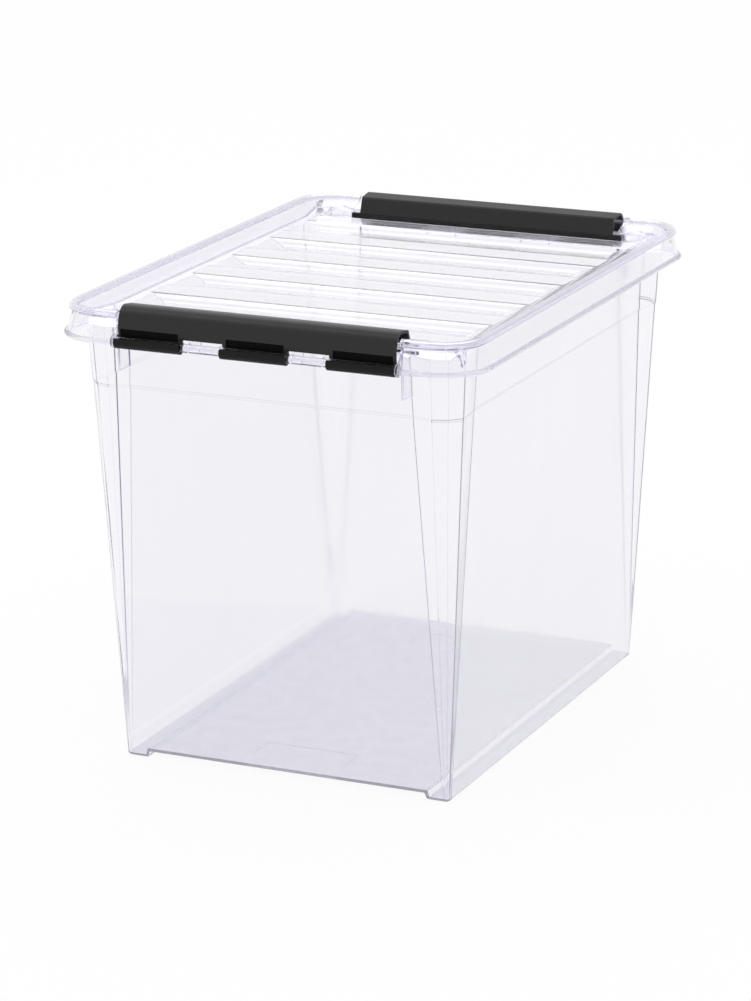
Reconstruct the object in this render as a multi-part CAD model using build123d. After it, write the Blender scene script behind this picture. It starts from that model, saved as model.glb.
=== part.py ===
from build123d import *
from math import cos, radians, sin, tan
import os

# Clear storage box: a tapered tub, a lid that drops into its mouth, and a clip on each short side.
# Origin: middle of the footprint, on the surface that the box stands on.
# +X runs along a short side, +Y along a long side, +Z up. All sizes are in millimetres.
# Everything at a short side is built at the rear (+Y) and turned half round for the front.

# Tub walls
base_width = 308.4
base_length = 429.2
mouth_width = 340.8
mouth_length = 471.4
wall_height = 397.8
wall = 2.0
base_chamfer = 1.5

# Round corner posts that widen and lean out towards the mouth. Each leaves its two walls at a crease, placed
# here by its distance from the walls' sharp corner, and has three faint ridges at these angles from +X.
base_crease_x = 5.6
base_crease_y = 4.6
mouth_crease_x = 42.3
mouth_crease_y = 48.0
base_post_radius = 4.5
mouth_post_radius = 31.3
post_out_x = 8.2
post_out_y = 5.6
post_ridges = (27.0, 56.5, 86.0)
ridge_bulge = 0.55

# Shallow shoulder round the walls, below the rim
shoulder_height = 338.0
shoulder_step = 0.5
shoulder_rise = 2.0

# Floor, raised between the two feet that run under the long sides
floor_thickness = 2.2
foot_width = 20.7
foot_height = 6.0
foot_slope = 2.5
patch_width = 86.0
patch_length = 36.0
patch_depth = 0.5
front_patch_y = -173.0
rear_patch_y = 159.0

# Rim of the tub: a flange that slopes down into the mouth, and a skirt with a lip
flange_over_sides = 16.6
flange_over_ends = 15.3
rim_corner = 35.0
rim_rise = 6.3
rim_land = 1.5
skirt_top_out = 1.2
skirt_low_out = 5.5
skirt_drop = 21.0
lip_out = 8.3
lip_height = 4.4
lip_droop = 0.7
flange_corner = 18.0
sheet = 2.0

# Clip bay in each short side, with its end plates this far in from the rim's long sides
bay_side_margin = 57.9
bay_plate = 2.0
rod_radius = 3.8
rod_out = 8.2
rod_below_rim = 19.1
ear_radius = 5.8
ear_top_above_rod = 9.3
ear_top_out = 3.2
gusset_width = 16.4
gusset_below_rim = 46.1
web_thickness = 1.6
web_from_middle_hook = 3.0
web_from_outer_hook = 6.0
web_rod_height = 5.0
web_root_height = 15.0

# Lid
seat_gap = 0.3
panel_side_margin = 9.5
panel_end_margin = 9.0
panel_corner = 8.0
lid_sheet = 2.0
bead_radius = 4.0
bead_wall = 1.8
bead_in = 0.6
bead_above_rim = 1.3
bead_leg = 1.0
plug_depth = 6.3
plug_wall = 1.6
plug_clearance = 0.8
corner_gap = 0.25

# Grip scoops across the lid
crest_count = 5
crest_pitch = 78.8
crest_end_margin = 45.5
scoop_depth = 6.2
scoop_drop_length = 14.5
scoop_drop_bend = 0.66
scoop_length = 52.0
scoop_wall = 1.2

# Trough across each end of the lid's panel, and the channel in the lid's edge that the clip swings through
trough_side_margin = 2.0
ledge_end_gap = 0.8
trough_length = 26.0
trough_below_rim = 11.9
trough_floor = 1.8
notch_in = 2.0
channel_edge_in = 0.5
channel_overlap = 1.0
trough_lip_bevel = 1.0
bead_end_gap = 2.5

# Clip
clip_end_gap = 2.1
clip_sheet = 2.5
hook_clearance = 0.3
hook_thickness = 1.7
hook_end_gap = 0.8
middle_hook_length = 60.0
window_length = 37.4
hook_lip_above_rod = 3.3
hook_root_in = 1.8
ledge_past_bay = 6.6
ledge_height = 5.0
ledge_depth = 2.5
ledge_clearance = 2.5
window_above_rod = 6.2
relief_depth = 0.8
relief_height = 7.0
relief_margin = 3.5

# Outer profile of a clip from foot to inner leg, as (out from the rim, above the rim)
clip_foot = (6.0, -15.3)
clip_face = (6.7, -8.1)
clip_shoulder = (3.8, 3.9)
clip_crown = (-7.6, 9.9)
clip_top_length = 12.3
clip_corner = 3.0

# Derived heights and half sizes
rim_top = wall_height + rim_rise
rim_half_x = mouth_width / 2 + flange_over_sides
rim_half_y = mouth_length / 2 + flange_over_ends
mouth_in_x = mouth_width / 2 - wall
mouth_in_y = mouth_length / 2 - wall
land_in = skirt_top_out - rim_land
skirt_low = rim_top - skirt_drop
rod_y = rim_half_y + rod_out
rod_z = rim_top - rod_below_rim
panel_half_x = mouth_width / 2 - panel_side_margin
panel_half_y = mouth_length / 2 - panel_end_margin
bead_z = rim_top + bead_above_rim
bead_inner = -bead_in - bead_radius
trough_z = rim_top - trough_below_rim
plug_low = wall_height - plug_depth
plug_room_y = (base_length + (mouth_length - base_length) * plug_low / wall_height) / 2 - wall
plug_half_y = plug_room_y - plug_clearance
plug_in_y = plug_half_y - plug_wall
ledge_y = plug_in_y - ledge_clearance
foot_z = rim_top + clip_foot[1]
far = 60.0

# Derived places along the clip, from the middle of the short side
bay_half_width = rim_half_x - bay_side_margin
clip_half_length = bay_half_width - clip_end_gap
hook_end = bay_half_width - hook_end_gap
middle_hook_end = middle_hook_length / 2
outer_hook_start = middle_hook_end + window_length
hook_edges = (
    (-hook_end, -outer_hook_start), (-middle_hook_end, middle_hook_end), (outer_hook_start, hook_end))
web_places = (middle_hook_end + web_from_middle_hook, outer_hook_start - web_from_outer_hook)
ledge_half_length = bay_half_width + ledge_past_bay
trough_half_width = panel_half_x - trough_side_margin
channel_half_width = ledge_half_length + ledge_end_gap
bead_gap_half = clip_half_length + bead_end_gap


def side_flange_z(x):
    """Height of the flange's upper face over a long side, carried on past its edges."""
    return wall_height + rim_rise * (x - mouth_in_x) / (rim_half_x + land_in - mouth_in_x)


def end_flange_z(y):
    """Height of the flange's upper face over a short side, carried on past its edges."""
    return wall_height + rim_rise * (y - mouth_in_y) / (rim_half_y + land_in - mouth_in_y)


def both_ends(shape):
    """The shape at the rear and its twin at the front."""
    return [shape, shape.rotate(Axis.Z, 180)]


def prism_x(points, low_x, high_x):
    """An outline of (y, z) points, filled and carried from low_x to high_x."""
    face = Plane.YZ * make_face(Polyline(*points, close=True))
    return Pos(low_x, 0, 0) * extrude(face, high_x - low_x)


def rim_outline(offset, z):
    """The rim's rounded rectangle, grown by offset, at height z."""
    width = 2 * (rim_half_x + offset)
    length = 2 * (rim_half_y + offset)
    return Pos(0, 0, z) * RectangleRounded(width, length, rim_corner + offset)


def rim_frustum(low_offset, low_z, high_offset, high_z):
    """A solid between two rim outlines."""
    return loft([rim_outline(low_offset, low_z), rim_outline(high_offset, high_z)], ruled=True)


def rim_ring(section):
    """Sweep a section, drawn as (offset, height) lines, once round the rim's outline."""
    edge_y = rim_half_y - rim_corner
    edge_x = rim_half_x - rim_corner
    lines = [Line((rim_half_x, 0), (rim_half_x, edge_y))]
    for quarter in range(4):
        start = 90 * quarter
        side_x = edge_x if quarter in (0, 3) else -edge_x
        side_y = edge_y if quarter in (0, 1) else -edge_y
        lines.append(CenterArc((side_x, side_y), rim_corner, start, 90))
        after = lines[-1] @ 1
        ends = [(-edge_x, rim_half_y), (-rim_half_x, -edge_y), (edge_x, -rim_half_y), (rim_half_x, 0)]
        lines.append(Line(after, ends[quarter]))
    path = Wire([line.edge() for line in lines])
    face = Pos(rim_half_x, 0, 0) * (Plane.XZ * make_face(section))
    return sweep(face, path=path)


def wall_outline(z, inset):
    """The tub's walls at height z with their corner posts, moved in by inset."""
    share = z / wall_height
    shoulder = shoulder_step * min(max((z - shoulder_height) / shoulder_rise, 0), 1) - shoulder_step
    half_x = (base_width + (mouth_width - base_width) * share) / 2 + shoulder
    half_y = (base_length + (mouth_length - base_length) * share) / 2 + shoulder
    crease_x = half_x - base_crease_x - (mouth_crease_x - base_crease_x) * share
    crease_y = half_y - base_crease_y - (mouth_crease_y - base_crease_y) * share
    radius = base_post_radius + (mouth_post_radius - base_post_radius) * share
    centre = Vector(half_x + post_out_x * share - radius, half_y + post_out_y * share - radius)

    def on_post(angle):
        return centre + Vector(cos(radians(angle)), sin(radians(angle))) * (radius - inset)

    pieces = [(Vector(half_x - inset, crease_y), None, on_post(post_ridges[0]))]
    for low, high in zip(post_ridges, post_ridges[1:]):
        chord_middle = (on_post(low) + on_post(high)) * 0.5
        middle = chord_middle + (on_post((low + high) / 2) - chord_middle) * ridge_bulge
        pieces.append((on_post(low), middle, on_post(high)))
    pieces.append((on_post(post_ridges[-1]), None, Vector(crease_x, half_y - inset)))

    edges = []
    last = None
    first = None
    for flip_x, flip_y in ((1, 1), (-1, 1), (-1, -1), (1, -1)):
        forward = flip_x * flip_y > 0
        for number, piece in enumerate(pieces if forward else reversed(pieces)):
            ends = piece if forward else piece[::-1]
            start, middle, end = [p and Vector(p.X * flip_x, p.Y * flip_y, z) for p in ends]
            if last is None:
                first = start
            elif number == 0:
                edges.append(Edge.make_line(last, start))
            if middle is None:
                edges.append(Edge.make_line(start, end))
            else:
                edges.append(Edge.make_three_point_arc(start, middle, end))
            last = end
    edges.append(Edge.make_line(last, first))
    return Face(Wire(edges))


def wall_solid(bottom, top, inset, chamfer=0.0):
    """The tub's outside or inside as one tapered block with the shoulder."""
    sections = [wall_outline(bottom, inset + chamfer)]
    if chamfer:
        sections.append(wall_outline(bottom + chamfer, inset))
    sections.append(wall_outline(shoulder_height, inset))
    sections.append(wall_outline(shoulder_height + shoulder_rise, inset))
    sections.append(wall_outline(top, inset))
    return loft(sections, ruled=True)


def floor_step(extra, height):
    """The raised middle of the floor as a bar with sloping sides along the whole tub."""
    half_top = base_width / 2 - foot_width + extra - foot_slope
    half_low = base_width / 2 - foot_width + extra
    outline = Polyline((-half_low, 0), (half_low, 0), (half_top, height), (-half_top, height), close=True)
    return extrude(Plane.XZ * make_face(outline), base_length, both=True)


def make_tub_shell():
    """Walls, floor and feet, open at the top."""
    outside = wall_solid(0, rim_top - sheet, 0, base_chamfer)
    inside = wall_solid(floor_thickness, rim_top, wall)
    inside -= floor_step(floor_thickness, foot_height + floor_thickness)
    shell = outside - floor_step(0, foot_height)
    for patch_y in (front_patch_y, rear_patch_y):
        shell -= Pos(0, patch_y, foot_height) * Box(patch_width, patch_length, 2 * patch_depth)
    return shell, inside


def make_rim():
    """Flange, skirt and lip as one ring, still filled inside."""
    mouth_x = mouth_width - 2 * shoulder_step
    mouth_y = mouth_length - 2 * shoulder_step
    low = Pos(0, 0, wall_height - sheet) * RectangleRounded(mouth_x, mouth_y, flange_corner)
    under_land = land_in - sheet / 2
    high = rim_outline(under_land, rim_top - sheet)
    flange = loft([low, high], ruled=True)
    outer = rim_frustum(skirt_low_out, skirt_low, skirt_top_out, rim_top)
    inner = rim_frustum(skirt_low_out - sheet, skirt_low, under_land, rim_top - sheet)
    lip_low = skirt_low - lip_height / 2
    lip = rim_ring([
        Line((skirt_low_out - sheet, lip_low), (skirt_low_out, lip_low)),
        ThreePointArc((skirt_low_out, lip_low), (lip_out, skirt_low - lip_droop),
                      (skirt_low_out, skirt_low + lip_height / 2)),
        Line((skirt_low_out, skirt_low + lip_height / 2), (skirt_low_out - sheet, skirt_low)),
        Line((skirt_low_out - sheet, skirt_low), (skirt_low_out - sheet, lip_low)),
    ])
    return outer - (inner - flange) + lip


def make_mouth():
    """The space over the flange, which the lid drops into."""
    low = Pos(0, 0, wall_height) * RectangleRounded(2 * mouth_in_x, 2 * mouth_in_y, flange_corner - wall)
    high = rim_outline(land_in, rim_top)
    return loft([low, high], ruled=True)


def make_bay_cut():
    """What is cut out of the skirt behind the rear clip."""
    half = bay_half_width + bay_plate
    inner_y = rim_half_y + land_in - sheet / 2
    low = skirt_low - lip_height
    high = rim_top - sheet
    return Pos(0, inner_y, low) * Box(2 * half, far, high - low, align=(Align.CENTER, Align.MIN, Align.MIN))


def make_bay_fittings():
    """The rod of the rear clip with the plates and webs that carry it."""
    parts = []
    root_y = mouth_in_y - shoulder_step
    gusset_y = root_y + wall + gusset_width
    gusset_z = rim_top - gusset_below_rim
    ear_low = rod_z - ear_radius
    outline = [
        (root_y, gusset_z), (gusset_y, gusset_z), (gusset_y, ear_low), (rod_y, ear_low),
        (rod_y + ear_radius, rod_z), (rim_half_y + ear_top_out, rod_z + ear_top_above_rod),
        (rim_half_y + land_in, rim_top - sheet / 2), (root_y, wall_height - sheet / 2),
    ]
    ear = extrude(Plane.YZ * Pos(rod_y, rod_z) * Circle(ear_radius), bay_plate)
    for low_x in (bay_half_width, -bay_half_width - bay_plate):
        parts.append(prism_x(outline, low_x, low_x + bay_plate))
        parts.append(Pos(low_x, 0, 0) * ear)
    parts.append(extrude(Plane.YZ * Pos(rod_y, rod_z) * Circle(rod_radius), bay_half_width, both=True))
    web = [
        (rod_y, rod_z - web_rod_height / 2), (rod_y, rod_z + web_rod_height / 2),
        (root_y, rod_z + web_root_height / 2), (root_y, rod_z - web_root_height / 2),
    ]
    for place in web_places:
        for side in (-place, place):
            parts.append(prism_x(web, side - web_thickness / 2, side + web_thickness / 2))
    return parts


def make_tub():
    """The whole tub: shell, rim, and a rod with its plates at each short side."""
    shell, inside = make_tub_shell()
    tub = shell + make_rim()
    for bay in both_ends(make_bay_cut()):
        tub -= bay
    fittings = make_bay_fittings()
    for fitting in fittings:
        for piece in both_ends(fitting):
            tub += piece
    tub -= make_mouth()
    tub -= under_lid_space(corner_gap)
    return tub - inside


def band_space(panel_z, edge_offset, edge_z, top):
    """The tapered space from the panel's outline up to the bead, closed at the given top."""
    low = Pos(0, 0, panel_z) * RectangleRounded(2 * panel_half_x, 2 * panel_half_y, panel_corner)
    space = loft([low, rim_outline(edge_offset, edge_z)], ruled=True)
    return space + extrude(rim_outline(edge_offset, edge_z), top - edge_z)


def under_lid_space(drop):
    """What lies above the underside of the lid's bands and panel, lowered by drop."""
    under_edge = bead_inner + bead_wall
    panel_under = side_flange_z(panel_half_x) + seat_gap - drop
    edge_under = side_flange_z(rim_half_x + under_edge) + seat_gap - drop
    return band_space(panel_under, under_edge, edge_under, bead_z)


def scoop_spaces(panel_z, slope):
    """The scoops that lie on the -Y side of each crest, ending on the side bands' slope."""
    crests = []
    for number in range(crest_count):
        crest = panel_half_y - crest_end_margin - number * crest_pitch
        floor_y = crest - scoop_drop_length
        end_y = crest - scoop_length
        drop_middle = (crest - (1 - scoop_drop_bend) * scoop_drop_length, -scoop_drop_bend * scoop_depth)
        section = make_face([
            ThreePointArc((crest, 0), drop_middle, (floor_y, -scoop_depth)),
            Spline((floor_y, -scoop_depth), (end_y, 0), tangents=((-1, -0.05), (-1, 0))),
            Line((end_y, 0), (end_y, lid_sheet)),
            Line((end_y, lid_sheet), (crest, lid_sheet)),
            Line((crest, lid_sheet), (crest, 0)),
        ])
        crests.append(extrude(Plane.YZ * section, panel_half_x, both=True))
    low_half = panel_half_x - 2 * scoop_depth / slope
    outline = Polyline(
        (-low_half, -2 * scoop_depth), (low_half, -2 * scoop_depth),
        (panel_half_x, 0), (panel_half_x, lid_sheet),
        (-panel_half_x, lid_sheet), (-panel_half_x, 0), close=True)
    wedge = extrude(Plane.XZ * make_face(outline), panel_half_y, both=True)
    return [Pos(0, 0, panel_z) * (crest & wedge) for crest in crests]


def make_bead(hollow):
    """The half-round bead round the lid with its short outer leg, hollow below or filled."""
    high = bead_radius
    out = -bead_in + high
    inner = -bead_in - high
    leg_z = bead_z - bead_leg
    if hollow:
        bore = bead_radius - bead_wall
        return rim_ring([
            ThreePointArc((out, bead_z), (-bead_in, bead_z + high), (inner, bead_z)),
            Line((inner, bead_z), (-bead_in - bore, bead_z)),
            ThreePointArc((-bead_in - bore, bead_z), (-bead_in, bead_z + bore), (-bead_in + bore, bead_z)),
            Line((-bead_in + bore, bead_z), (-bead_in + bore, leg_z)),
            Line((-bead_in + bore, leg_z), (out, leg_z)),
            Line((out, leg_z), (out, bead_z)),
        ])
    return rim_ring([
        ThreePointArc((out, bead_z), (-bead_in, bead_z + high), (inner, bead_z)),
        Line((inner, bead_z), (inner, leg_z)),
        Line((inner, leg_z), (out, leg_z)),
        Line((out, leg_z), (out, bead_z)),
    ])


def make_plug():
    """The wall under the lid that stands just inside the tub's mouth."""
    height = rim_rise + plug_depth
    outer = extrude(wall_outline(plug_low, wall + plug_clearance), height)
    return outer - extrude(wall_outline(plug_low, wall + plug_clearance + plug_wall), height)


def make_lid():
    """The lid as one sheet: bead, sloping bands, scooped panel with end troughs, and plug wall."""
    slope = rim_rise / (rim_half_x + land_in - mouth_in_x)
    panel_top = side_flange_z(panel_half_x) + seat_gap + lid_sheet
    edge_top = side_flange_z(rim_half_x + bead_inner) + seat_gap + lid_sheet
    body = under_lid_space(0)
    over = band_space(panel_top, bead_inner, edge_top, bead_z + far)
    for scoop in scoop_spaces(panel_top, slope):
        body += Pos(0, scoop_wall, -lid_sheet) * scoop
        over += scoop
    body += make_plug()
    for piece in both_ends(make_trough_block()):
        body += piece
    lid = body - over
    lid += make_bead(True)
    cap = Pos(0, rim_half_y, bead_z) * Box(2 * (bead_gap_half + bead_wall), far, far)
    lid += make_bead(False) & (cap + cap.rotate(Axis.Z, 180))
    for space in make_channel_spaces():
        for piece in both_ends(space):
            lid -= piece
    return lid


def make_trough_block():
    """What the rear trough and channel are cut from, up to the bead."""
    low_z = trough_z - trough_floor
    inner_y = plug_in_y - trough_length - trough_floor
    edge_y = rim_half_y - channel_edge_in
    seat_z = wall_height + seat_gap
    trough_half = trough_half_width + trough_floor
    channel_half = channel_half_width + trough_floor
    trough = [(inner_y, low_z), (plug_half_y, low_z), (plug_half_y, bead_z), (inner_y, bead_z)]
    channel = [
        (inner_y, seat_z), (mouth_in_y, seat_z), (edge_y, end_flange_z(edge_y) + seat_gap),
        (edge_y, bead_z), (inner_y, bead_z),
    ]
    plug_face = Pos(0, 0, low_z - plug_low) * wall_outline(plug_low, wall + plug_clearance)
    plug_block = extrude(plug_face, bead_z - low_z)
    trough_block = prism_x(trough, -trough_half, trough_half) & plug_block
    return trough_block + prism_x(channel, -channel_half, channel_half)


def make_channel_spaces():
    """The rear trough, then the channel that the clip's ledge swings through and the gap in the bead."""

    def sheet_top(y):
        return end_flange_z(y) + seat_gap + trough_floor

    inner_y = plug_in_y - trough_length
    lead_y = plug_in_y + trough_floor
    notch_y = rim_half_y - notch_in
    overlap_y = notch_y - channel_overlap
    edge_y = rim_half_y - channel_edge_in
    high_z = bead_z + far
    trough = [(inner_y, trough_z), (plug_in_y, trough_z), (plug_in_y, high_z), (inner_y, high_z)]
    lip_z = sheet_top(plug_in_y) - trough_lip_bevel
    channel = [
        (inner_y, lip_z), (plug_in_y, lip_z), (lead_y, sheet_top(lead_y)), (notch_y, sheet_top(notch_y)),
        (notch_y, high_z), (inner_y, high_z),
    ]
    bead_gap = [
        (overlap_y, sheet_top(overlap_y)), (edge_y, sheet_top(edge_y)), (edge_y, skirt_low),
        (edge_y + far, skirt_low), (edge_y + far, high_z), (overlap_y, high_z),
    ]
    return [
        prism_x(trough, -trough_half_width, trough_half_width),
        prism_x(channel, -channel_half_width, channel_half_width),
        prism_x(bead_gap, -bead_gap_half, bead_gap_half),
    ]


def at_rim(point):
    """A clip point given as (out from the rim, above the rim), at its place."""
    return (rim_half_y + point[0], rim_top + point[1])


def sheet_inside(line):
    """The inner side of the clip's sheet along a line or arc of its outer profile."""
    points = []
    for share in (0, 0.5, 1):
        heading = line % share
        points.append(line @ share + Vector(-heading.Y, heading.X) * clip_sheet)
    if isinstance(line, Line):
        return Line(points[0], points[2])
    return ThreePointArc(*points)


def make_clip_body():
    """The clip's outer face, crown, top and inner leg as one bent sheet, with the ledge along its end."""
    ledge_z = trough_z + seat_gap
    leg_z = ledge_z + ledge_height
    face = ThreePointArc(at_rim(clip_foot), at_rim(clip_face), at_rim(clip_shoulder))
    crown = TangentArc(at_rim(clip_shoulder), at_rim(clip_crown), tangent=face % 1)
    leg_end = Vector(ledge_y - ledge_depth, leg_z)
    corner = crown @ 1 + (crown % 1) * clip_top_length
    leg_heading = (leg_end - corner).normalized()
    corner_run = clip_corner * tan(radians((crown % 1).get_angle(leg_heading) / 2))
    top = Line(crown @ 1, corner - (crown % 1) * corner_run)
    bend = TangentArc(top @ 1, corner + leg_heading * corner_run, tangent=crown % 1)
    leg = Line(bend @ 1, leg_end)
    outer = [face, crown, top, bend, leg]
    inner = [sheet_inside(line) for line in outer]
    joins = [Line(leg @ 1, inner[-1] @ 1), Line(inner[0] @ 0, face @ 0)]
    sheet_face = make_face([line.edge() for line in outer + inner + joins])
    body = extrude(Plane.YZ * sheet_face, clip_half_length, both=True)
    ledge_in_y = ledge_y - ledge_depth
    ledge = [(ledge_y, ledge_z), (ledge_y, leg_z), (ledge_in_y, leg_z), (ledge_in_y, ledge_z)]
    return body + prism_x(ledge, -ledge_half_length, ledge_half_length)


def make_hook_section():
    """The open ring of a hook, from the foot of the face round below the rod to its level lip."""
    bore = rod_radius + hook_clearance
    outside = bore + hook_thickness
    reach = 2 * outside
    opening = Rectangle(reach, reach, align=(Align.MIN, Align.MIN))
    section = Circle(outside) - Circle(bore) - Pos(-hook_root_in, hook_lip_above_rod) * opening
    return Plane.YZ * Pos(rod_y, rod_z) * section


def make_clip():
    """The rear clip: a bent sheet with a ledge, cut by two windows, and three hooks round the rod."""
    clip = make_clip_body()
    face_y = rim_half_y + clip_face[0]
    window_height = 2 * (rod_z + window_above_rod - foot_z)
    for left, right in zip(hook_edges, hook_edges[1:]):
        window = Box(right[0] - left[1], far / 2, window_height)
        clip -= Pos((left[1] + right[0]) / 2, face_y, foot_z) * window
    section = make_hook_section()
    for low_x, high_x in hook_edges:
        clip += Pos(low_x, 0, 0) * extrude(section, high_x - low_x)
        relief = Box(high_x - low_x - 2 * relief_margin, 2 * relief_depth, relief_height)
        clip -= Pos((low_x + high_x) / 2, face_y, foot_z + relief_height / 2) * relief
    return clip


os.makedirs("parts", exist_ok=True)
rear_clip = make_clip()
nodes = {
    "tub": make_tub(),
    "lid": make_lid(),
    "rear_clip": rear_clip,
    "front_clip": rear_clip.rotate(Axis.Z, 180),
}
for name, shape in nodes.items():
    export_step(shape, f"parts/{name}.step")
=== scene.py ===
import math

import bpy
from mathutils import Matrix, Vector

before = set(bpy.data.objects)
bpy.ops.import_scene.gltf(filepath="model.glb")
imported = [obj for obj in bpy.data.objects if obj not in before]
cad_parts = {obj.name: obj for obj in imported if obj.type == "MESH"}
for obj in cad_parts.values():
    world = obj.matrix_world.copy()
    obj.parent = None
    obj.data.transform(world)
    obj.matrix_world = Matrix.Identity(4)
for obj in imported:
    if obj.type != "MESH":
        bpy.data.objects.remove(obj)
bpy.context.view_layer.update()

# The photograph's frame and camera, in pixels, degrees and metres
IMAGE_WIDTH = 751
FOCAL_PIXELS = 3927.05
SENSOR_WIDTH = 36.0
CAMERA_PLACE = (1.3959, -3.0651, 1.1762)
CAMERA_YAW = 24.643
CAMERA_DOWN = 16.306
CAMERA_ROLL = -0.550
CAMERA_SEES = 100

# Clear plastic: its colour and gloss on the walls, the corner posts and the tub's floor; the posts' tint is a
# little lighter as painted light and the floor's tint darker as painted shade, on the same violet-grey
# plastic
PLASTIC_IOR = 1.49
PLASTIC_TINT = (0.954, 0.951, 0.973)
PLASTIC_ROUGHNESS = 0.07
POST_TINT_AND_LIGHT = (0.965, 0.963, 0.98)
POST_ROUGHNESS = 0.02
# Painted shade: the deeper tints laid in a thin line along every edge and crease
PAINTED_EDGE_SHADE = (0.72, 0.71, 0.79)
PAINTED_POST_EDGE_SHADE = (0.81, 0.80, 0.86)
FLOOR_TINT_AND_SHADE = (0.80, 0.797, 0.865)
FLOOR_ROUGHNESS = 0.14
SMEAR_LEAST = 0.5
SMEAR_MOST = 1.6
CLOUD_SHADE = 0.992

# Clear plastic: broad flow waves and fine upright streaks, each a noise (scale, detail, roughness)
# with the height and strength of its bump
FLOW_NOISE = (9, 2, 0.4)
FLOW_HEIGHT = 0.0006
FLOW_STRENGTH = 0.5
STREAK_NOISE = (60, 3, 0.5)
STREAK_STRETCH = (1, 1, 0.08)
STREAK_HEIGHT = 0.00003
STREAK_STRENGTH = 0.3

# Clear plastic: the tint of its depth, per metre, and a painted glow, a faint haze of emitted light, on paths
# that are still trapped in it after so many turns
ABSORB_COLOUR = (0.66, 0.65, 0.77)
ABSORB_DENSITY = 6.0
TRAPPED_DEPTH = 8
PAINTED_GLOW_COLOUR = (0.82, 0.81, 0.88)
PAINTED_GLOW_SHARE = 0.28

# Edges and creases: how round they look, and the turn of the surface where their painted shade, a deeper
# tint, starts and is full
EDGE_ROUND = 0.0009
EDGE_SAMPLES = 4
EDGE_SHADE_START = 0.012
EDGE_SHADE_FULL = 0.06

# The tub's floor: its level faces lie below this height
FLOOR_TOP = 0.012
LEVEL_LEAST = 0.9

# Corner posts of the tub: upright slanted faces that reach this far from the middle
POST_MOST_X = 0.1795
POST_MOST_Y = 0.2425
POST_LEAST_SLANT = 0.05
POST_MOST_TILT = 0.3

# Hooks of the clips and the flat recesses above them, as heights and distances from the middle
HOOK_NEAR = 0.2515
RECESS_LOW = 0.3888
RECESS_TOP = 0.3960
RECESS_NEAR = 0.2562
RECESS_FAR = 0.2572
UPRIGHT_LEAST = 0.98

# White floor: how much of it is seen as plain white, and a hair's breadth under the box
# so that no faces coincide
FLOOR_SIZE = 40
FLOOR_WHITE = 0.93
FLOOR_GLOW = 0.93
FLOOR_GAP = 0.0002

# Black plastic: colour, gloss and a fine grain
BLACK_COLOUR = (0.0016, 0.0016, 0.0015)
BLACK_DARKEST = 0.8
BLACK_LIGHTEST = 1.25
BLACK_SPECULAR = 0.46
HOOK_SPECULAR = 0.22
RECESS_SPECULAR = 0.06
BLACK_ROUGH_LEAST = 0.36
BLACK_ROUGH_MOST = 0.5
BLACK_NOISE = (40, 3, 0.5)
GRAIN_NOISE = (1400, 2, 0.6)
GRAIN_HEIGHT = 0.00006
GRAIN_STRENGTH = 0.5

# Where a cloudy colour starts and ends along its noise
CLOUD_LOW = 0.3
CLOUD_HIGH = 0.7

# The sky that reflections and refractions see, as (height along the ramp, colour)
SKY = (
    (0.0, (1, 1, 1)),
    (0.35, (0.97, 0.97, 0.98)),
    (0.6, (0.9, 0.9, 0.93)),
    (1.0, (0.95, 0.95, 0.97)),
)

# Lights, as name, place, target, size and power
LIGHTS = (
    ("top_light", (-0.6, 1.4, 2.4), (0, 0, 0.3), (1.6, 1.2), 8),
    ("key_light", (-0.9, -0.75, 2.4), (0, 0, 0.4), (0.9, 0.35), 4),
)

# Light bends through many thin walls
MOST_BOUNCES = 32
MOST_GLOSSY_BOUNCES = 8


def new_material(name):
    """An empty node material with its output, as (material, nodes, links, output)."""
    material = bpy.data.materials.new(name)
    material.use_nodes = True
    nodes = material.node_tree.nodes
    nodes.clear()
    output = nodes.new("ShaderNodeOutputMaterial")
    return material, nodes, material.node_tree.links, output


def noise_node(nodes, links, kind, stretch=(1, 1, 1)):
    """Noise of a kind (scale, detail, roughness) on the piece's own coordinates in metres."""
    scale, detail, roughness = kind
    place = nodes.new("ShaderNodeTexCoord")
    mapping = nodes.new("ShaderNodeMapping")
    mapping.inputs["Scale"].default_value = stretch
    links.new(place.outputs["Object"], mapping.inputs["Vector"])
    noise = nodes.new("ShaderNodeTexNoise")
    noise.inputs["Scale"].default_value = scale
    noise.inputs["Detail"].default_value = detail
    noise.inputs["Roughness"].default_value = roughness
    links.new(mapping.outputs["Vector"], noise.inputs["Vector"])
    return noise


def bump_node(nodes, links, height, distance, strength, under=None):
    """A bump of that height output, over another bump where there is one."""
    bump = nodes.new("ShaderNodeBump")
    bump.inputs["Distance"].default_value = distance
    bump.inputs["Strength"].default_value = strength
    links.new(height, bump.inputs["Height"])
    if under is not None:
        links.new(under.outputs["Normal"], bump.inputs["Normal"])
    return bump


def ranged(nodes, links, value, low, high):
    """A value from 0 to 1 spread from low to high."""
    spread = nodes.new("ShaderNodeMapRange")
    spread.inputs["To Min"].default_value = low
    spread.inputs["To Max"].default_value = high
    links.new(value, spread.inputs["Value"])
    return spread


def cloudy(nodes, links, noise, dark, light):
    """A colour that goes from dark to light with the noise."""
    cloud = nodes.new("ShaderNodeValToRGB")
    low, high = cloud.color_ramp.elements
    low.position = CLOUD_LOW
    low.color = (*dark, 1)
    high.position = CLOUD_HIGH
    high.color = (*light, 1)
    links.new(noise.outputs["Fac"], cloud.inputs["Fac"])
    return cloud


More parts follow.
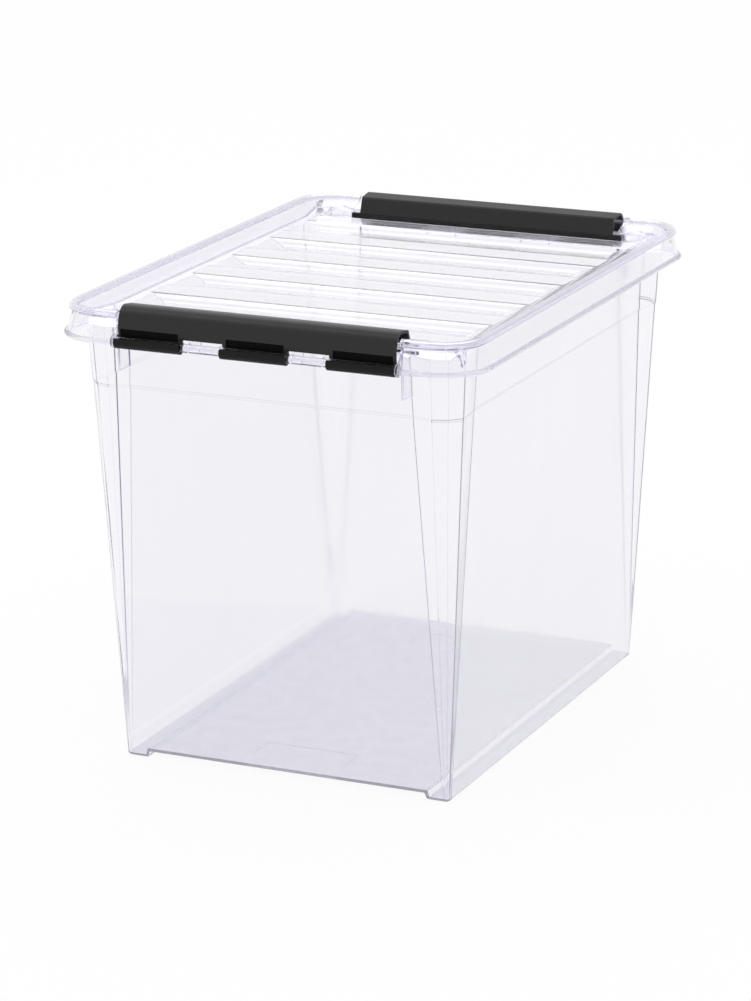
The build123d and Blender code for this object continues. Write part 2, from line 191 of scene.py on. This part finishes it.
def tint_with_painted_edge_shade(nodes, links, soft, flow, tint, edge):
    """The plastic's tint, slightly cloudy, with painted shade: a deeper tint in a thin line along every edge
    and crease.
    """
    cloud = cloudy(nodes, links, flow, [c * CLOUD_SHADE for c in tint], tint)
    surface = nodes.new("ShaderNodeNewGeometry")
    turn = nodes.new("ShaderNodeVectorMath")
    turn.operation = "DISTANCE"
    links.new(soft.outputs["Normal"], turn.inputs[0])
    links.new(surface.outputs["Normal"], turn.inputs[1])
    near = nodes.new("ShaderNodeMapRange")
    near.inputs["From Min"].default_value = EDGE_SHADE_START
    near.inputs["From Max"].default_value = EDGE_SHADE_FULL
    links.new(turn.outputs["Value"], near.inputs["Value"])
    colour = nodes.new("ShaderNodeMixRGB")
    links.new(near.outputs["Result"], colour.inputs["Fac"])
    links.new(cloud.outputs["Color"], colour.inputs["Color1"])
    colour.inputs["Color2"].default_value = (*edge, 1)
    return colour.outputs["Color"]


def add_painted_glow(nodes, links, shader):
    """A painted glow: a faint emitted haze on paths that are still trapped in the plastic after many turns.
    """
    path = nodes.new("ShaderNodeLightPath")
    trapped = nodes.new("ShaderNodeMath")
    trapped.operation = "GREATER_THAN"
    trapped.inputs[1].default_value = TRAPPED_DEPTH
    links.new(path.outputs["Ray Depth"], trapped.inputs[0])
    share = nodes.new("ShaderNodeMath")
    share.operation = "MULTIPLY"
    share.inputs[1].default_value = PAINTED_GLOW_SHARE
    links.new(trapped.outputs["Value"], share.inputs[0])
    shader.inputs["Emission Color"].default_value = (*PAINTED_GLOW_COLOUR, 1)
    links.new(share.outputs["Value"], shader.inputs["Emission Strength"])


def clear_plastic(name, tint, edge, roughness):
    """Clear moulded plastic: faint flow waves, fine streaks and a violet-grey tint in its depth, with painted
    shade along edges and creases and a faint painted glow.
    """
    material, nodes, links, output = new_material(name)
    shader = nodes.new("ShaderNodeBsdfPrincipled")
    shader.inputs["IOR"].default_value = PLASTIC_IOR
    shader.inputs["Transmission Weight"].default_value = 1.0
    flow = noise_node(nodes, links, FLOW_NOISE)
    streaks = noise_node(nodes, links, STREAK_NOISE, STREAK_STRETCH)
    smear = ranged(nodes, links, streaks.outputs["Fac"], roughness * SMEAR_LEAST, roughness * SMEAR_MOST)
    links.new(smear.outputs["Result"], shader.inputs["Roughness"])
    waves = bump_node(nodes, links, flow.outputs["Fac"], FLOW_HEIGHT, FLOW_STRENGTH)
    fine = bump_node(nodes, links, streaks.outputs["Fac"], STREAK_HEIGHT, STREAK_STRENGTH, waves)
    soft = nodes.new("ShaderNodeBevel")
    soft.samples = EDGE_SAMPLES
    soft.inputs["Radius"].default_value = EDGE_ROUND
    links.new(soft.outputs["Normal"], waves.inputs["Normal"])
    links.new(tint_with_painted_edge_shade(nodes, links, soft, flow, tint, edge), shader.inputs["Base Color"])
    links.new(fine.outputs["Normal"], shader.inputs["Normal"])
    depth = nodes.new("ShaderNodeVolumeAbsorption")
    depth.inputs["Color"].default_value = (*ABSORB_COLOUR, 1)
    depth.inputs["Density"].default_value = ABSORB_DENSITY
    # Painted glow on paths still trapped in the plastic after many turns
    add_painted_glow(nodes, links, shader)
    material.cycles.emission_sampling = "NONE"
    links.new(shader.outputs["BSDF"], output.inputs["Surface"])
    links.new(depth.outputs["Volume"], output.inputs["Volume"])
    return material


def black_plastic(name, specular):
    """Black moulded plastic with a fine spark-eroded grain and slightly uneven gloss."""
    material, nodes, links, output = new_material(name)
    shader = nodes.new("ShaderNodeBsdfPrincipled")
    shader.inputs["Specular IOR Level"].default_value = specular
    cloud = noise_node(nodes, links, BLACK_NOISE)
    dark = [BLACK_DARKEST * c for c in BLACK_COLOUR]
    light = [BLACK_LIGHTEST * c for c in BLACK_COLOUR]
    shade = cloudy(nodes, links, cloud, dark, light)
    links.new(shade.outputs["Color"], shader.inputs["Base Color"])
    gloss = ranged(nodes, links, cloud.outputs["Fac"], BLACK_ROUGH_LEAST, BLACK_ROUGH_MOST)
    links.new(gloss.outputs["Result"], shader.inputs["Roughness"])
    grain = noise_node(nodes, links, GRAIN_NOISE)
    bump = bump_node(nodes, links, grain.outputs["Fac"], GRAIN_HEIGHT, GRAIN_STRENGTH)
    links.new(bump.outputs["Normal"], shader.inputs["Normal"])
    links.new(shader.outputs["BSDF"], output.inputs["Surface"])
    return material


def seen_through(nodes, links):
    """1 for rays that come from the camera, a reflection or a clear wall, and 0 for the light itself."""
    path = nodes.new("ShaderNodeLightPath")
    first = nodes.new("ShaderNodeMath")
    first.operation = "MAXIMUM"
    links.new(path.outputs["Is Camera Ray"], first.inputs[0])
    links.new(path.outputs["Is Transmission Ray"], first.inputs[1])
    second = nodes.new("ShaderNodeMath")
    second.operation = "MAXIMUM"
    links.new(first.outputs["Value"], second.inputs[0])
    links.new(path.outputs["Is Glossy Ray"], second.inputs[1])
    return second.outputs["Value"]


def make_floor():
    """A wide pale floor, mostly seen as plain white, that still takes the box's soft shadow."""
    bpy.ops.mesh.primitive_plane_add(size=FLOOR_SIZE, location=(0, 0, -FLOOR_GAP))
    floor = bpy.context.active_object
    floor.name = "floor"
    material, nodes, links, output = new_material("floor_white")
    matt = nodes.new("ShaderNodeBsdfDiffuse")
    matt.inputs["Color"].default_value = (FLOOR_WHITE, FLOOR_WHITE, FLOOR_WHITE, 1)
    glow = nodes.new("ShaderNodeEmission")
    glow.inputs["Strength"].default_value = 1.0
    share = nodes.new("ShaderNodeMath")
    share.operation = "MULTIPLY"
    share.inputs[1].default_value = FLOOR_GLOW
    links.new(seen_through(nodes, links), share.inputs[0])
    mix = nodes.new("ShaderNodeMixShader")
    links.new(share.outputs["Value"], mix.inputs["Fac"])
    links.new(matt.outputs["BSDF"], mix.inputs[1])
    links.new(glow.outputs["Emission"], mix.inputs[2])
    links.new(mix.outputs["Shader"], output.inputs["Surface"])
    floor.data.materials.append(material)


def make_world():
    """Even white light, with a greyer upper sky that only reflections and refractions see."""
    world = bpy.data.worlds.new("studio")
    bpy.context.scene.world = world
    world.use_nodes = True
    nodes = world.node_tree.nodes
    links = world.node_tree.links
    nodes.clear()
    output = nodes.new("ShaderNodeOutputWorld")
    back = nodes.new("ShaderNodeBackground")
    place = nodes.new("ShaderNodeTexCoord")
    split = nodes.new("ShaderNodeSeparateXYZ")
    links.new(place.outputs["Generated"], split.inputs["Vector"])
    sky = nodes.new("ShaderNodeValToRGB")
    first, last = sky.color_ramp.elements
    first.position, last.position = SKY[0][0], SKY[-1][0]
    first.color, last.color = (*SKY[0][1], 1), (*SKY[-1][1], 1)
    for height, colour in SKY[1:-1]:
        sky.color_ramp.elements.new(height).color = (*colour, 1)
    links.new(split.outputs["Z"], sky.inputs["Fac"])
    path = nodes.new("ShaderNodeLightPath")
    pick = nodes.new("ShaderNodeMixRGB")
    links.new(path.outputs["Is Camera Ray"], pick.inputs["Fac"])
    links.new(sky.outputs["Color"], pick.inputs["Color1"])
    pick.inputs["Color2"].default_value = (1, 1, 1, 1)
    links.new(pick.outputs["Color"], back.inputs["Color"])
    back.inputs["Strength"].default_value = 1.0
    links.new(back.outputs["Background"], output.inputs["Surface"])


def add_softbox(name, place, target, size, power):
    """A rectangular soft light that points at a place on the object."""
    data = bpy.data.lights.new(name, "AREA")
    data.shape = "RECTANGLE"
    data.size, data.size_y = size
    data.energy = power
    lamp = bpy.data.objects.new(name, data)
    bpy.context.scene.collection.objects.link(lamp)
    lamp.location = place
    direction = Vector(target) - Vector(place)
    lamp.rotation_euler = direction.to_track_quat("-Z", "Y").to_euler()


def make_camera():
    """The camera where the photograph was taken from."""
    data = bpy.data.cameras.new("camera")
    data.sensor_fit = "HORIZONTAL"
    data.sensor_width = SENSOR_WIDTH
    data.lens = SENSOR_WIDTH * FOCAL_PIXELS / IMAGE_WIDTH
    data.clip_end = CAMERA_SEES
    camera = bpy.data.objects.new("camera", data)
    bpy.context.scene.collection.objects.link(camera)
    turn = Matrix.Rotation(math.radians(CAMERA_YAW), 4, "Z")
    tilt = Matrix.Rotation(math.radians(90 - CAMERA_DOWN), 4, "X")
    roll = Matrix.Rotation(math.radians(CAMERA_ROLL), 4, "Z")
    camera.matrix_world = Matrix.Translation(CAMERA_PLACE) @ turn @ tilt @ roll
    bpy.context.scene.camera = camera


def give_materials(node, *materials):
    """Puts materials on a CAD node in place of what it came with, the first on every face."""
    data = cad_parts[node].data
    data.materials.clear()
    for material in materials:
        data.materials.append(material)
    return data


def dress_tub(node):
    """Clear plastic on the tub, with its floor's level faces (1), in a copy with painted shade, and its
    corner posts (2), in a copy with painted light, apart.
    """
    data = give_materials(node, clear, clear_floor_painted_shade, clear_post_painted_light)
    for polygon in data.polygons:
        normal, centre = polygon.normal, polygon.center
        slanted = min(abs(normal.x), abs(normal.y)) > POST_LEAST_SLANT
        upright = abs(normal.z) < POST_MOST_TILT
        inside_rim = abs(centre.x) < POST_MOST_X and abs(centre.y) < POST_MOST_Y
        if abs(normal.z) > LEVEL_LEAST and centre.z < FLOOR_TOP:
            polygon.material_index = 1
        elif slanted and upright and inside_rim:
            polygon.material_index = 2


def dress_clip(node):
    """Black plastic on a clip, with its hooks (1) and the dull flat recesses above them (2) apart."""
    data = give_materials(node, black, black_hook, black_recess)
    for polygon in data.polygons:
        height = polygon.center.z
        out = abs(polygon.center.y)
        if height < RECESS_LOW and out > HOOK_NEAR:
            polygon.material_index = 1
        elif height < RECESS_TOP and abs(polygon.normal.y) > UPRIGHT_LEAST and RECESS_NEAR < out < RECESS_FAR:
            polygon.material_index = 2


clear = clear_plastic("clear_plastic", PLASTIC_TINT, PAINTED_EDGE_SHADE, PLASTIC_ROUGHNESS)
# The floor's copy is darker by painted shade, the posts' copy lighter by painted light
clear_floor_painted_shade = clear_plastic("clear_floor_painted_shade", FLOOR_TINT_AND_SHADE, PAINTED_EDGE_SHADE, FLOOR_ROUGHNESS)
clear_post_painted_light = clear_plastic("clear_post_painted_light", POST_TINT_AND_LIGHT, PAINTED_POST_EDGE_SHADE, POST_ROUGHNESS)
black = black_plastic("black_plastic", BLACK_SPECULAR)
black_hook = black_plastic("black_hook", HOOK_SPECULAR)
black_recess = black_plastic("black_recess", RECESS_SPECULAR)
dress_tub("tub")
give_materials("lid", clear)
for clip in ("front_clip", "rear_clip"):
    dress_clip(clip)

make_floor()
make_world()
for light in LIGHTS:
    add_softbox(*light)
make_camera()
bpy.context.scene.view_settings.view_transform = "Standard"
bpy.context.scene.cycles.max_bounces = MOST_BOUNCES
bpy.context.scene.cycles.transmission_bounces = MOST_BOUNCES
bpy.context.scene.cycles.glossy_bounces = MOST_GLOSSY_BOUNCES
